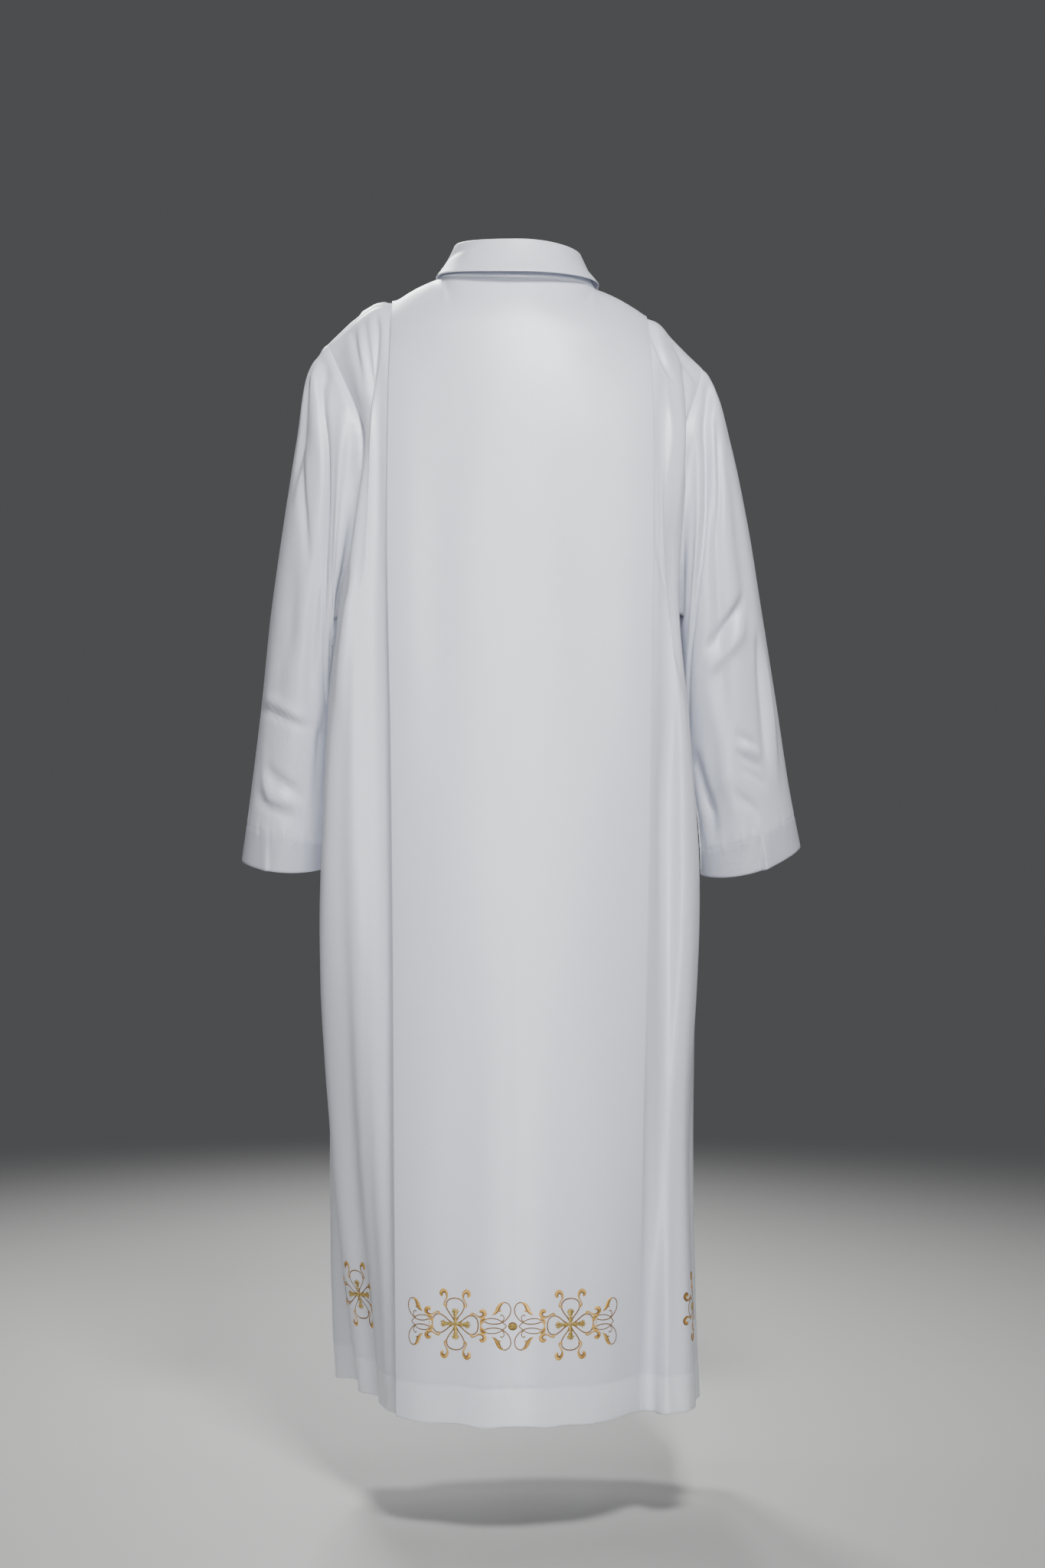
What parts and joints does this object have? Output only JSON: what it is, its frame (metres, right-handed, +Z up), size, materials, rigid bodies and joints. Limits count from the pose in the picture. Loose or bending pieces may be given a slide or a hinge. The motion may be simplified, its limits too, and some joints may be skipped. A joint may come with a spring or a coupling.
{
  "type": "alb robe",
  "caption": "Long white alb robe in its hollow worn form, with a fold-over collar, set-in sleeves and long pleats from the shoulders to the hem.",
  "frame": {"origin": "middle of the neck opening at the height of the shoulders beside the neck, where the garment hangs from its wearer", "axes": "+Z up, +X to the wearer's left, +Y to the wearer's back"},
  "size_m": [0.7242, 0.4432, 1.4625],
  "materials": {
    "back_cloth": "white satin-faced polyester cloth",
    "front_left_cloth": "white satin-faced polyester cloth",
    "front_right_cloth": "white satin-faced polyester cloth",
    "sleeve_left_cloth": "white satin-faced polyester cloth",
    "sleeve_right_cloth": "white satin-faced polyester cloth",
    "collar_cloth": "white satin-faced polyester cloth, double layer"
  },
  "bodies": {
    "root": {"back": "back_cloth", "front_left": "front_left_cloth", "front_right": "front_right_cloth", "sleeve_left": "sleeve_left_cloth", "sleeve_right": "sleeve_right_cloth", "collar": "collar_cloth"}
  },
  "joints": []
}
